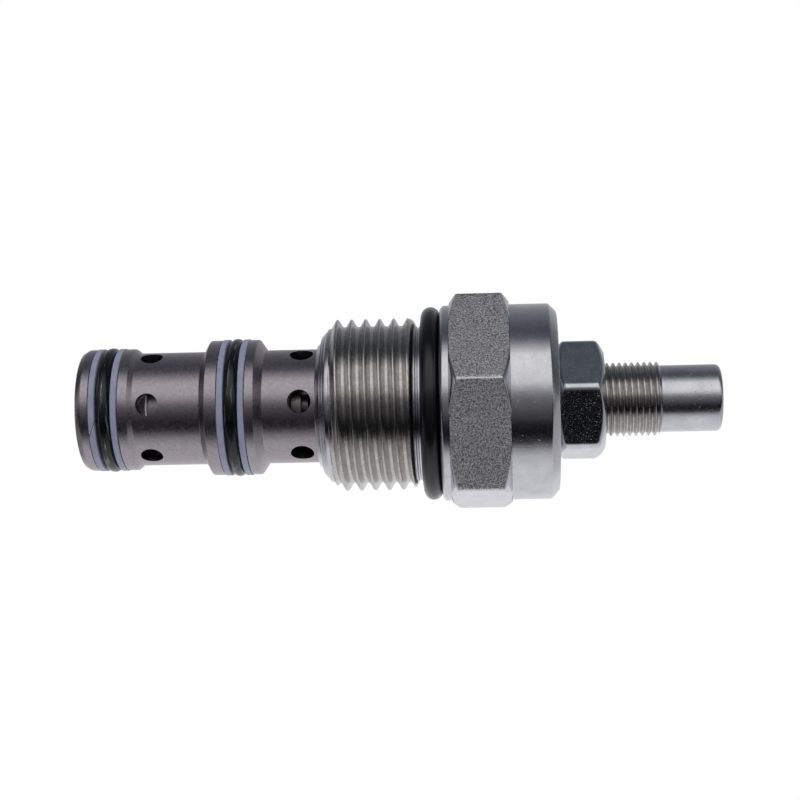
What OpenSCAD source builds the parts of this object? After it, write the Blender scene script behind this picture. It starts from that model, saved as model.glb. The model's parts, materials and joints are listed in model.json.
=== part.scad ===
// Screw-in cartridge valve with three ports, a sliding spool and a screw adjuster.
// The valve lies on the Z axis, nose down and adjuster up, and Z = 0 is the underside of
// the body's collar, which meets the manifold. Heights below are measured from that face,
// and depths go down from it. Sizes are in millimetres and angles in degrees.

/* [Body] */
// Width of the body's hexagon across its flats
body_hex_af = 25.4; // [25.4:0.1:26]
// Angle of the first corner of the body's hexagon
body_hex_turn = 18; // [0:1:59]
// Diameter of the collar and of the turned end above the hexagon
collar_d = 25.2; // [24.8:0.1:25.3]
// Height of the collar, where the hexagon starts
collar_h = 1.2; // [0.8:0.1:2]
// Height of the hexagon's upper end
hex_top = 8.85; // [7.5:0.05:10]
// Height of the body's top face
body_top = 14.9; // [14.9:0.1:16]
// Chamfer round the body's top face
top_chamfer = 1.05; // [0.5:0.05:1.5]
// Depth of the body's lower end, whose lip is crimped in under the cage's head
body_depth = 15.8; // [15.6:0.1:16.1]

/* [Port thread] */
// Major diameter of the thread that screws into the manifold, 7/8-14 UNF
port_thread_d = 22.225; // [22:0.005:22.4]
// Pitch of the port thread
port_thread_pitch = 1.8143; // [1.7:0.0001:1.85]
// Number of full crests on the port thread
port_thread_crests = 5; // [3:1:5]
// Diameter of the neck between the port thread and the collar, where the flange seal sits
neck_d = 20.1; // [19.8:0.1:20.2]

/* [Cage] */
// Depth of the cage's nose
cage_depth = 46.4; // [46.2:0.1:47]
// Diameter of the land nearest the nose
lower_land_d = 15.8; // [15.7:0.1:16]
// Diameter of the land between the two rows of port holes
upper_land_d = 17.5; // [17.3:0.1:17.6]
// Diameter of the barrel between the two lands
lower_barrel_d = 14.64; // [14.2:0.02:15]
// Diameter of the barrel between the upper land and the body
upper_barrel_d = 14.7; // [14.4:0.02:14.72]
// Diameter of the bore that the spool slides in
spool_bore_d = 10; // [9.98:0.01:10.06]

/* [Port holes] */
// Number of holes in each row
port_holes = 6; // [4:1:8]
// Diameter of the holes between the lands
lower_hole_d = 2.85; // [2:0.05:3]
// Diameter of the holes above the upper land
upper_hole_d = 3; // [2:0.05:3.2]
// Angle of the first hole in both rows
hole_turn = 25; // [0:1:59]

/* [Seals] */
// Section of the seals round the two lands
land_seal_section = 1.78; // [1.7:0.01:1.8]
// Section of the seal under the collar
flange_seal_section = 2.42; // [2.2:0.01:2.46]
// Width of each backup ring
backup_w = 0.86; // [0.7:0.02:0.86]
// Width of the slanting cut through each backup ring
scarf_gap = 0.12; // [0.08:0.01:0.3]

/* [Spool and spring] */
// Depth of the edge of the spool that meters the flow through the lower holes
spool_edge_depth = 37.45; // [36.9:0.05:38]
// Travel of the spool from there down to its stop ring
spool_closing_travel = 1.5; // [1:0.1:1.5]
// Diameter of the short pilot on the spool's nose end
spool_pilot_d = 8.6; // [7:0.1:8.9]
// Diameter of the control spring's wire
spring_wire_d = 1.6; // [1.3:0.05:1.6]
// Diameter to the middle of the spring's wire
spring_mean_d = 7.7; // [7.6:0.1:8]
// Number of turns in the spring, with a closed one at each end
spring_turns = 7; // [6:1:7]

/* [Adjuster] */
// Major diameter of the adjusting screw's thread, 3/8-32 UNEF
screw_thread_d = 9.525; // [9.4:0.005:9.53]
// Pitch of the adjusting screw's thread
screw_pitch = 0.79375; // [0.78:0.00125:0.8]
// Number of crests on the adjusting screw
screw_crests = 24; // [18:1:24]
// Diameter of the adjusting screw's smooth end
screw_end_d = 8.56; // [8:0.02:8.7]
// Height of the adjusting screw's tip
screw_top = 35.7; // [34:0.1:37]
// Width across the flats of the key socket in the adjusting screw's tip
socket_af = 3.97; // [3:0.01:4.2]
// Depth of the key socket
socket_depth = 4.5; // [2:0.5:6]

/* [Lock nut] */
// Width of the lock nut across its flats
nut_af = 14; // [13.6:0.1:15]
// Thickness of the lock nut
nut_h = 5.8; // [4.8:0.1:6.5]
// Angle of the first corner of the lock nut
nut_turn = 17.4; // [0:0.1:59]

/* [Hidden] */
$fn = 96;

// Gap left between fitted faces that don't move
fit_gap = 0.02;
// How far a cutting solid runs past the face that it opens
past = 1;
// How far the turned rim that chamfers a hexagon stands outside its corners
rim_over = 0.3;
// Radial clearance of the spool and of the adjusting screw's head
running_gap = 0.03;
// Radial clearance of the adjusting screw in the body and in the lock nut
thread_gap = 0.04;
// Height of a thread's ridges as a share of its pitch
ridge_depth = 0.541;

// Body: radii, and heights of its inner steps
collar_r = collar_d / 2;
collar_edge = 0.4;
hex_chamfer = 1;
thread_bottom_z = -13.9;
neck_bottom_z = -4.6;
lip_top = -15;
lip_wall = 0.5;
lip_r = upper_barrel_d / 2 + 0.05;
pocket_r = 8.5;
pocket_top = -11.5;
chamber_r = 6.35;
chamber_top = 9.4;
port_root_r = port_thread_d / 2 - ridge_depth * port_thread_pitch;
first_port_crest = -13.05;

// Screw thread: its crests start just above the head, inside the body
screw_r = screw_thread_d / 2;
screw_root_r = screw_r - ridge_depth * screw_pitch;
screw_hole_r = screw_r + thread_gap;
first_screw_crest = 9.1;
screw_thread_top = first_screw_crest + screw_crests * screw_pitch;

// Adjusting screw: head and end
head_r = chamber_r - running_gap;
head_bottom = 3.4;
head_top = 7.75;
screw_neck_r = 4.2;
tip_round = 0.7;
head_groove_low = 4.1;
head_groove_high = 6.95;
head_seal_outer_r = chamber_r - fit_gap;
head_groove_r = head_seal_outer_r - land_seal_section - fit_gap;

// Thrust ball between the adjusting screw and the upper spring seat
ball_r = 1.6;
ball_z = 2.9;
ball_cup_r = ball_r + fit_gap;
cup_face = 0.5;

// Lock nut and the seal in its lower face
nut_bottom = body_top + 0.1;
nut_top = nut_bottom + nut_h;
nut_chamfer = 0.6;
nut_seal_r = 5.9;
nut_seal_h = 1.2;

// Cage: depths of its lands, seal grooves, port holes and head
nose_rim_r = 7.46;
lower_land = [-45.65, -39.75];
lower_groove = [-44.65, -40.95];
upper_land = [-29.7, -23.5];
upper_groove = [-28.15, -24.65];
lower_land_run = 0.7;
upper_land_runs = [0.8, 0.95];
lower_hole_z = -37.2;
upper_hole_z = -17.8;
cage_head_r = pocket_r - 0.05;
cage_head = [lip_top + fit_gap, pocket_top - fit_gap];
seal_proud = 0.22;
backup_proud = [0.08, 0.1];
seal_r = land_seal_section / 2;
lower_seal_inner_r = lower_land_d / 2 + seal_proud - land_seal_section;
upper_seal_inner_r = upper_land_d / 2 + seal_proud - land_seal_section;
groove_gap = 0.01;

// Angles of the slanting cuts through the backup rings: nose side, then body side
lower_cut_turns = [288, 75];
upper_cut_turns = [120, 30];
adjuster_cut_turn = 200;

// Spool
spool_r = spool_bore_d / 2 - running_gap;
spool_edge = -spool_edge_depth;
pilot_r = spool_pilot_d / 2;
pilot_h = 0.6;
pilot_step = 0.25;
spool_top = -19.4;
spool_chamfer = 0.3;
balance_groove = 0.35;
balance_heights = [-34.4, -31.4, -28.4, -25.4, -22.4];

// Stop ring in the nose, which the spool's lower edge rests on when the valve is closed
stop_ring_r = 0.45;
stop_ring_z = spool_edge - spool_closing_travel - stop_ring_r - fit_gap;
stop_groove_r = 5.56;
stop_groove_h = 1;

// Spring seats
lower_seat_h = 1.5;
lower_seat = [spool_top + fit_gap, spool_top + lower_seat_h];
lower_seat_r = 4.6;
seat_pilot_r = 2.85;
seat_pilot_h = 2;
spigot_r = 1.5;
spigot_h = 1.1;
upper_seat = [0.9, ball_z - cup_face];
upper_seat_r = 5.9;
seat_chamfer = 0.3;

// Control spring: one closed turn at each end, ground flat
spring_low = lower_seat[1] + fit_gap;
spring_high = upper_seat[0] - fit_gap;
spring_grind = 0.25 * spring_wire_d;
closed_pitch = 1.03 * spring_wire_d;
open_pitch = (spring_high - spring_low - 2 * spring_grind - 2 * closed_pitch) / (spring_turns - 2);
spring_steps = 20;
spring_sides = 8;

// A hexagonal bar that stands on the origin, with its first corner on the X axis
module hex_bar(af, h) {
    cylinder(r = af / sqrt(3), h = h, $fn = 6);
}

// A hexagonal bar whose corners are chamfered at 30 degrees at both ends
module chamfered_hex(af, h, chamfer) {
    rim_h = chamfer + rim_over * tan(30);
    face_r = af / sqrt(3) - chamfer / tan(30);
    rim_r = af / sqrt(3) + rim_over;
    intersection() {
        hex_bar(af, h);
        turned([[face_r, 0], [rim_r, rim_h], [rim_r, h - rim_h], [face_r, h]]);
    }
}

// A solid turned from [radius, height] points that run from its lower end to its upper end
module turned(outline) {
    rotate_extrude()
        polygon(concat([[0, outline[0][1]]], outline, [[0, outline[len(outline) - 1][1]]]));
}

// A round hole between two heights on the valve's axis
module axial_hole(r, low, high) {
    translate([0, 0, low])
        cylinder(r = r, h = high - low);
}

// A row of holes drilled from the outside to the axis
module hole_row(d, z, reach, count, turn) {
    for (i = [0 : count - 1])
        rotate([0, 0, turn + i * 360 / count])
            translate([0, 0, z])
                rotate([0, 90, 0])
                    cylinder(d = d, h = reach);
}

// One flat-topped ridge with 60 degree flanks, as [radius, height] points
function ridge(root_r, crest_r, z, pitch) =
    let (crest = pitch / 16, foot = crest + (crest_r - root_r) * tan(30))
    [[root_r, z - foot], [crest_r, z - crest], [crest_r, z + crest], [root_r, z + foot]];

// A run of ridges that stands for a thread, one pitch apart
function ridges(root_r, crest_r, first_z, pitch, count) =
    [for (i = [0 : count - 1]) each ridge(root_r, crest_r, first_z + i * pitch, pitch)];

// A land with a square seal groove in it
function grooved_land(r, land, groove, groove_r) = [
    [r, land[0]], [r, groove[0]], [groove_r, groove[0]],
    [groove_r, groove[1]], [r, groove[1]], [r, land[1]]
];

// A small square groove in a land
function balance(r, z) = [
    [r, z - balance_groove / 2], [r - balance_groove, z - balance_groove / 2],
    [r - balance_groove, z + balance_groove / 2], [r, z + balance_groove / 2]
];

// A round-section seal on the valve's axis
module o_ring(inner_r, section, z) {
    translate([0, 0, z])
        rotate_extrude()
            translate([inner_r + section / 2, 0])
                circle(d = section);
}

// A flat ring, split by a slanting cut so that it can be sprung into its groove
module backup_ring(inner_r, outer_r, low, high, cut_turn) {
    slant = 62;
    difference() {
        axial_hole(outer_r, low, high);
        axial_hole(inner_r, low - past, high + past);
        rotate([0, 0, cut_turn])
            translate([(inner_r + outer_r) / 2, 0, (low + high) / 2])
                rotate([slant, 0, 0])
                    cube([outer_r, scarf_gap, 6 * (high - low)], center = true);
    }
}

// Body turned from hexagonal bar, which holds everything together and screws into the manifold
module hex_body() {
    color("#b9bab4")
        difference() {
            union() {
                turned(concat(
                    [
                        [lip_r + lip_wall, -body_depth],
                        [port_root_r, thread_bottom_z]
                    ],
                    ridges(port_root_r, port_thread_d / 2, first_port_crest, port_thread_pitch,
                        port_thread_crests),
                    [
                        [neck_d / 2, neck_bottom_z], [neck_d / 2, 0], [collar_r - collar_edge, 0],
                        [collar_r, collar_edge], [collar_r, collar_h]
                    ]
                ));
                translate([0, 0, collar_h])
                    rotate([0, 0, body_hex_turn])
                        chamfered_hex(body_hex_af, hex_top - collar_h, hex_chamfer);
                turned([
                    [collar_r, hex_top], [collar_r, body_top - top_chamfer],
                    [collar_r - top_chamfer, body_top]
                ]);
            }
            axial_hole(lip_r, -body_depth - past, lip_top + past);
            axial_hole(pocket_r, lip_top, pocket_top);
            axial_hole(chamber_r, pocket_top - past, chamber_top);
            axial_hole(screw_hole_r, chamber_top - past, body_top + past);
        }
}

// Cage with two sealing lands and two rows of port holes, open at the nose
module cage() {
    color("#7d716e")
        difference() {
            turned(concat(
                [[nose_rim_r, -cage_depth]],
                grooved_land(lower_land_d / 2, lower_land, lower_groove,
                    lower_seal_inner_r - groove_gap),
                [
                    [lower_barrel_d / 2, lower_land[1] + lower_land_run],
                    [lower_barrel_d / 2, upper_land[0] - upper_land_runs[0]]
                ],
                grooved_land(upper_land_d / 2, upper_land, upper_groove,
                    upper_seal_inner_r - groove_gap),
                [
                    [upper_barrel_d / 2, upper_land[1] + upper_land_runs[1]],
                    [upper_barrel_d / 2, cage_head[0]], [cage_head_r, cage_head[0]],
                    [cage_head_r, cage_head[1]]
                ]
            ));
            axial_hole(spool_bore_d / 2, -cage_depth - past, cage_head[1] + past);
            axial_hole(stop_groove_r, stop_ring_z - stop_groove_h / 2,
                stop_ring_z + stop_groove_h / 2);
            hole_row(lower_hole_d, lower_hole_z, upper_land_d, port_holes, hole_turn);
            hole_row(upper_hole_d, upper_hole_z, upper_land_d, port_holes, hole_turn);
        }
}

// Spool: its lower edge meters the flow between the nose and the lower holes
module spool() {
    color("#8d8f92")
        difference() {
            turned(concat(
                [
                    [pilot_r - pilot_step, spool_edge - pilot_h],
                    [pilot_r, spool_edge - pilot_h + pilot_step],
                    [pilot_r, spool_edge], [spool_r, spool_edge]
                ],
                [for (z = balance_heights) each balance(spool_r, z)],
                [[spool_r, spool_top - spool_chamfer], [spool_r - spool_chamfer, spool_top]]
            ));
            axial_hole(spigot_r + fit_gap, spool_top - spigot_h - fit_gap, spool_top + past);
        }
}

// Open wire ring in the nose that stops the spool
module spool_stop_ring() {
    opening = 40;
    color("#6f7276")
        rotate([0, 0, opening / 2])
            translate([0, 0, stop_ring_z])
                rotate_extrude(angle = 360 - opening)
                    translate([stop_groove_r - groove_gap - stop_ring_r, 0])
                        circle(r = stop_ring_r);
}

// Seat between the spool's upper end and the spring
module lower_spring_seat() {
    color("#9a9894")
        turned([
            [spigot_r, lower_seat[0] - spigot_h], [spigot_r, lower_seat[0]],
            [lower_seat_r - seat_chamfer, lower_seat[0]],
            [lower_seat_r, lower_seat[0] + seat_chamfer], [lower_seat_r, lower_seat[1]],
            [seat_pilot_r, lower_seat[1]],
            [seat_pilot_r, lower_seat[1] + seat_pilot_h - seat_chamfer],
            [seat_pilot_r - seat_chamfer, lower_seat[1] + seat_pilot_h]
        ]);
}

// Height of the wire's middle above its start, after this many turns
function spring_rise(turn) =
    turn < 1 ? turn * closed_pitch
    : turn < spring_turns - 1 ? closed_pitch + (turn - 1) * open_pitch
    : closed_pitch + (spring_turns - 2) * open_pitch + (turn - spring_turns + 1) * closed_pitch;

// Points round the wire, one ring after another
function spring_points() = [
    for (i = [0 : spring_turns * spring_steps])
        let (
            turn = i / spring_steps,
            z = spring_low + spring_grind + spring_rise(turn)
        )
        for (s = [0 : spring_sides - 1])
            let (
                a = s * 360 / spring_sides,
                r = (spring_mean_d + spring_wire_d * cos(a)) / 2
            )
            [r * cos(turn * 360), r * sin(turn * 360), z + spring_wire_d / 2 * sin(a)]
];

// Four-cornered faces between the rings, and a face over each end
function spring_faces() = concat(
    [[for (s = [0 : spring_sides - 1]) s]],
    [
        for (i = [0 : spring_turns * spring_steps - 1], s = [0 : spring_sides - 1])
            let (next = (s + 1) % spring_sides, ring = i * spring_sides)
            [ring + s, ring + spring_sides + s, ring + spring_sides + next, ring + next]
    ],
    [[for (s = [spring_sides - 1 : -1 : 0]) spring_turns * spring_steps * spring_sides + s]]
);

// Coil spring that loads the spool
module control_spring() {
    color("#55585c")
        intersection() {
            polyhedron(points = spring_points(), faces = spring_faces());
            axial_hole(spring_mean_d, spring_low, spring_high);
        }
}

// Seat between the spring and the thrust ball
module upper_spring_seat() {
    color("#9a9894")
        difference() {
            turned([
                [seat_pilot_r - seat_chamfer, upper_seat[0] - seat_pilot_h],
                [seat_pilot_r, upper_seat[0] - seat_pilot_h + seat_chamfer],
                [seat_pilot_r, upper_seat[0]], [upper_seat_r, upper_seat[0]],
                [upper_seat_r, upper_seat[1] - seat_chamfer],
                [upper_seat_r - seat_chamfer, upper_seat[1]]
            ]);
            translate([0, 0, ball_z])
                sphere(r = ball_cup_r);
        }
}

// Ball that lets the adjusting screw turn on its seat
module thrust_ball() {
    color("#c8cacc")
        translate([0, 0, ball_z])
            sphere(r = ball_r);
}

// Adjusting screw with a sealed head inside the body
module adjusting_screw() {
    end_r = screw_end_d / 2;
    color("#a5a69d")
        difference() {
            turned(concat(
                grooved_land(head_r, [head_bottom, head_top],
                    [head_groove_low, head_groove_high], head_groove_r),
                [[screw_neck_r, head_top]],
                ridges(screw_root_r, screw_r, first_screw_crest, screw_pitch, screw_crests),
                [[end_r, screw_thread_top]],
                [
                    for (a = [0 : 15 : 90])
                        [end_r - tip_round * (1 - cos(a)), screw_top - tip_round * (1 - sin(a))]
                ]
            ));
            translate([0, 0, ball_z])
                sphere(r = ball_cup_r);
            translate([0, 0, screw_top - socket_depth])
                hex_bar(socket_af, socket_depth + past);
        }
}

// Seal round the adjusting screw's head
module adjuster_o_ring() {
    color("#1b1c1e")
        o_ring(head_groove_r + fit_gap, land_seal_section, head_groove_low + fit_gap + seal_r);
}

// Backup ring on the outer side of the adjusting screw's seal
module adjuster_backup_ring() {
    color("#c9d3de")
        backup_ring(head_groove_r + fit_gap, head_seal_outer_r,
            head_groove_high - fit_gap - backup_w, head_groove_high - fit_gap, adjuster_cut_turn);
}

// Thin hexagonal nut that locks the adjusting screw
module lock_nut() {
    color("#d2d4d6")
        difference() {
            translate([0, 0, nut_bottom])
                rotate([0, 0, nut_turn])
                    chamfered_hex(nut_af, nut_h, nut_chamfer);
            axial_hole(screw_hole_r, nut_bottom - past, nut_top + past);
            axial_hole(nut_seal_r, nut_bottom - past, nut_bottom + nut_seal_h);
        }
}

// Flat seal in the lock nut's lower face
module lock_nut_seal() {
    color("#dcdcd2")
        difference() {
            axial_hole(nut_seal_r - fit_gap, nut_bottom + fit_gap,
                nut_bottom + nut_seal_h - fit_gap);
            axial_hole(screw_hole_r, nut_bottom - past, nut_top);
        }
}

// Seal under the body's collar
module flange_o_ring() {
    color("#1b1c1e")
        o_ring(neck_d / 2 + groove_gap, flange_seal_section, -fit_gap - flange_seal_section / 2);
}

// Seal and backup rings on the land nearest the nose
module lower_o_ring() {
    color("#1b1c1e")
        o_ring(lower_seal_inner_r, land_seal_section, (lower_groove[0] + lower_groove[1]) / 2);
}

module lower_backup_ring_nose() {
    color("#c9d3de")
        backup_ring(lower_seal_inner_r + fit_gap, lower_land_d / 2 + backup_proud[0],
            lower_groove[0] + fit_gap, lower_groove[0] + fit_gap + backup_w, lower_cut_turns[0]);
}

module lower_backup_ring_body() {
    color("#c9d3de")
        backup_ring(lower_seal_inner_r + fit_gap, lower_land_d / 2 + backup_proud[0],
            lower_groove[1] - fit_gap - backup_w, lower_groove[1] - fit_gap, lower_cut_turns[1]);
}

// Seal and backup rings on the land between the rows of holes
module upper_o_ring() {
    color("#1b1c1e")
        o_ring(upper_seal_inner_r, land_seal_section, (upper_groove[0] + upper_groove[1]) / 2);
}

module upper_backup_ring_nose() {
    color("#c9d3de")
        backup_ring(upper_seal_inner_r + fit_gap, upper_land_d / 2 + backup_proud[1],
            upper_groove[0], upper_groove[0] + backup_w, upper_cut_turns[0]);
}

module upper_backup_ring_body() {
    color("#c9d3de")
        backup_ring(upper_seal_inner_r + fit_gap, upper_land_d / 2 + backup_proud[1],
            upper_groove[1] - backup_w, upper_groove[1], upper_cut_turns[1]);
}

hex_body();
cage();
spool();
spool_stop_ring();
lower_spring_seat();
control_spring();
upper_spring_seat();
thrust_ball();
adjusting_screw();
adjuster_o_ring();
adjuster_backup_ring();
lock_nut();
lock_nut_seal();
flange_o_ring();
lower_o_ring();
lower_backup_ring_nose();
lower_backup_ring_body();
upper_o_ring();
upper_backup_ring_nose();
upper_backup_ring_body();
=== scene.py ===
"""Finished pieces, materials and studio for a screw-in cartridge valve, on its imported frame."""

import json
import math

import bmesh
import bpy
from bpy.props import FloatProperty, FloatVectorProperty, PointerProperty
from mathutils import Euler, Matrix, Vector


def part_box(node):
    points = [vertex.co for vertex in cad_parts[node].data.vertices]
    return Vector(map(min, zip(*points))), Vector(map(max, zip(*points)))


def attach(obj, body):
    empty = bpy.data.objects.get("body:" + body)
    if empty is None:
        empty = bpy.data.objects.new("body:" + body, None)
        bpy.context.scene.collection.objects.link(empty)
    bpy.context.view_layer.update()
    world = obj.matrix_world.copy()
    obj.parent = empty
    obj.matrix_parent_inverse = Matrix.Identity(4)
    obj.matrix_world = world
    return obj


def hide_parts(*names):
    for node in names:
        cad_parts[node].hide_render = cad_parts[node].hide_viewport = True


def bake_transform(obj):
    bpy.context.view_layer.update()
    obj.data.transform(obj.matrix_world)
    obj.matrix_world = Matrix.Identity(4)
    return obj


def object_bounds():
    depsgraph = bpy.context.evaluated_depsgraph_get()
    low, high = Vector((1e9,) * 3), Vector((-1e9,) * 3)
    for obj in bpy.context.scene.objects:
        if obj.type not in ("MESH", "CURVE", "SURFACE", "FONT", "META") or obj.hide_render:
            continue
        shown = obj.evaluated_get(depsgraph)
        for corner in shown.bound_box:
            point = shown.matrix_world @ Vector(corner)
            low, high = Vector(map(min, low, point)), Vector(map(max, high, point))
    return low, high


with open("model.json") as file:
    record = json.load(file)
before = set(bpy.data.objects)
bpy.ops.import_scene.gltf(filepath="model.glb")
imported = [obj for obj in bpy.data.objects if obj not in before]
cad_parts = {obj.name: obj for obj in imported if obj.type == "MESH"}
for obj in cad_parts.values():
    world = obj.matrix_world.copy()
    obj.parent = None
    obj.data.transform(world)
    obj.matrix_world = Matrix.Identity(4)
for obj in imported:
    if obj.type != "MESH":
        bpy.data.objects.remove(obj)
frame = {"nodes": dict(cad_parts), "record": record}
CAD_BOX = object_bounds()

bl_info = {
    "name": "Cartridge valve",
    "version": (1, 0, 0),
    "blender": (4, 5, 0),
    "location": "3D View > Sidebar > Valve",
    "description": "Builds the finished pieces of a screw-in cartridge valve on its frame",
    "category": "Object",
}

MM = 0.001
FULL_TURN = 2 * math.pi
BODY = "valve_body"


# Frame lookups, all in millimetres


def z_range(node):
    """Lowest and highest point of a node on the valve's axis."""
    low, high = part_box(node)
    return low[2] / MM, high[2] / MM


def outer_radius(node):
    """Largest radius of a round node."""
    low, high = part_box(node)
    return (high[1] - low[1]) / 2 / MM


def mount_radius(name):
    """Radius of one of the record's round mounts."""
    return next(m["dims"]["r_mm"] for m in frame["record"]["mounts"] if m["name"] == name)


# Mesh building: a piece is a stack of rows, and each row runs once round the Z axis


def smooth_min(a, b, blend):
    """The smaller of two lengths, rounded off where they are within the blend of each other."""
    h = max(blend - abs(a - b), 0.0) / blend
    return min(a, b) - h * h * blend / 4


def smooth_step(t):
    """0 before 0, 1 after 1, and a smooth rise between."""
    t = min(max(t, 0.0), 1.0)
    return t * t * (3 - 2 * t)


def fillet(path, radius, steps=4):
    """A (radius, height) path with each inner corner rounded."""
    out = [path[0]]
    for before, corner, after in zip(path, path[1:], path[2:]):
        c = Vector(corner)
        to_before, to_after = Vector(before) - c, Vector(after) - c
        reach = min(radius, to_before.length * 0.45, to_after.length * 0.45)
        start, end = c + to_before.normalized() * reach, c + to_after.normalized() * reach
        for i in range(steps + 1):
            t = i / steps
            p = start * (1 - t) ** 2 + c * (2 * t * (1 - t)) + end * t ** 2
            out.append((p.x, p.y))
    out.append(path[-1])
    return out


def arc(centre, radius, start_deg, end_deg, steps=8):
    """Points on an arc in the (radius, height) plane."""
    sweep = end_deg - start_deg
    angles = [math.radians(start_deg + sweep * i / steps) for i in range(steps + 1)]
    return [(centre[0] + radius * math.cos(a), centre[1] + radius * math.sin(a)) for a in angles]


def hexagon_radius(angle, flats, turn, corner_blend, facing=0.3, out_of_reach=1e3):
    """Distance from the axis to a hexagon's side in one direction, with its corners eased."""
    def side(k):
        slope = math.cos(angle - math.radians(turn + 30 + 60 * k))
        return flats / 2 / slope if slope > facing else out_of_reach
    near = sorted(side(k) for k in range(6))
    return smooth_min(near[0], near[1], corner_blend)


def ring_point(row, angle):
    """Place of a row's point. A row is a fixed (radius, height) or a function of the angle."""
    radius, height = row(angle) if callable(row) else row
    return radius * math.cos(angle) * MM, radius * math.sin(angle) * MM, height * MM


def even_angles(columns):
    """Angles of this many equal columns, once round."""
    return [FULL_TURN * i / columns for i in range(columns + 1)]


def hexagon_angles(turn, columns=180, reach=2.4, step=0.3):
    """Angles of equal columns, with closer ones at a hexagon's corners."""
    degrees = {round(360 * i / columns, 3) for i in range(columns + 1)}
    count = round(reach / step)
    for corner in range(6):
        middle = turn + 60 * corner
        degrees |= {round((middle + step * i) % 360, 3) for i in range(-count, count + 1)}
    return [math.radians(d) for d in sorted(degrees)]


def add_rows(bm, rows, angles, closed=True):
    """Adds the faces between rows that follow each other, all the way round."""
    grid = [[bm.verts.new(ring_point(row, a)) for a in angles] for row in rows]
    pairs = list(zip(grid, grid[1:])) + ([(grid[-1], grid[0])] if closed else [])
    for low, high in pairs:
        for i in range(len(angles) - 1):
            bm.faces.new((low[i], low[i + 1], high[i + 1], high[i]))


def finish_mesh(bm, name, sharp_deg=32, weld=0.0015 * MM):
    """Welds the seams, turns the faces outwards and makes the object."""
    bmesh.ops.remove_doubles(bm, verts=bm.verts, dist=weld)
    bmesh.ops.dissolve_degenerate(bm, edges=bm.edges, dist=weld)
    bmesh.ops.recalc_face_normals(bm, faces=bm.faces)
    mesh = bpy.data.meshes.new(name)
    bm.to_mesh(mesh)
    bm.free()
    mesh.shade_smooth()
    mesh.set_sharp_from_angle(angle=math.radians(sharp_deg))
    piece = bpy.data.objects.new(name, mesh)
    bpy.context.scene.collection.objects.link(piece)
    return piece


def turned_piece(name, rows, angles, closed=True, sharp_deg=32):
    """A piece made of one stack of rows."""
    bm = bmesh.new()
    add_rows(bm, rows, angles, closed)
    return finish_mesh(bm, name, sharp_deg)


def strip_piece(name, rings, sharp_deg=50):
    """A piece with two capped ends, made of rings of (radius, angle, height) points."""
    bm = bmesh.new()
    grid = [[bm.verts.new(ring_point((r, z), a)) for r, a, z in ring] for ring in rings]
    count = len(grid[0])
    for here, there in zip(grid, grid[1:]):
        for k in range(count):
            after = (k + 1) % count
            bm.faces.new((here[k], here[after], there[after], there[k]))
    bm.faces.new(grid[0])
    bm.faces.new(reversed(grid[-1]))
    return finish_mesh(bm, name, sharp_deg)


# Flat of a thread's crest, and the roundings of its crest and root, as shares of the pitch
CREST_FLAT, CREST_ROUND, ROOT_ROUND = 0.06, 0.08, 0.12


def thread_radius(angle, z, crest_r, root_r, pitch, crest_z):
    """Radius of a right-hand 60 degree thread whose crest passes angle 180 at crest_z."""
    turns = (z - crest_z) / pitch - (angle / FULL_TURN - 0.5)
    from_crest = abs(turns - round(turns)) * pitch
    flank = crest_r - (from_crest - pitch * CREST_FLAT) * math.sqrt(3)
    topped = smooth_min(flank, crest_r, pitch * CREST_ROUND)
    return -smooth_min(-topped, -root_r, pitch * ROOT_ROUND)


def helix_rows(low, high, pitch, rows_per_pitch, radius_at):
    """Rows that climb with the thread, so that each one keeps its place on the thread's form."""
    def row(base):
        def point(angle):
            z = min(max(base + pitch * angle / FULL_TURN, low), high)
            return radius_at(angle, z), z
        return point
    count = round((high - low) / pitch * rows_per_pitch) + rows_per_pitch + 1
    return [row(low - pitch + i * pitch / rows_per_pitch) for i in range(count + 1)]


# Materials


def set_stops(ramp, stops):
    """Sets a ramp node's stops from (position, colour or grey) pairs."""
    elements = ramp.color_ramp.elements
    while len(elements) < len(stops):
        elements.new(0.5)
    for element, (position, value) in zip(elements, stops):
        element.position = position
        element.color = (*value, 1) if isinstance(value, tuple) else (value, value, value, 1)


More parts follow.
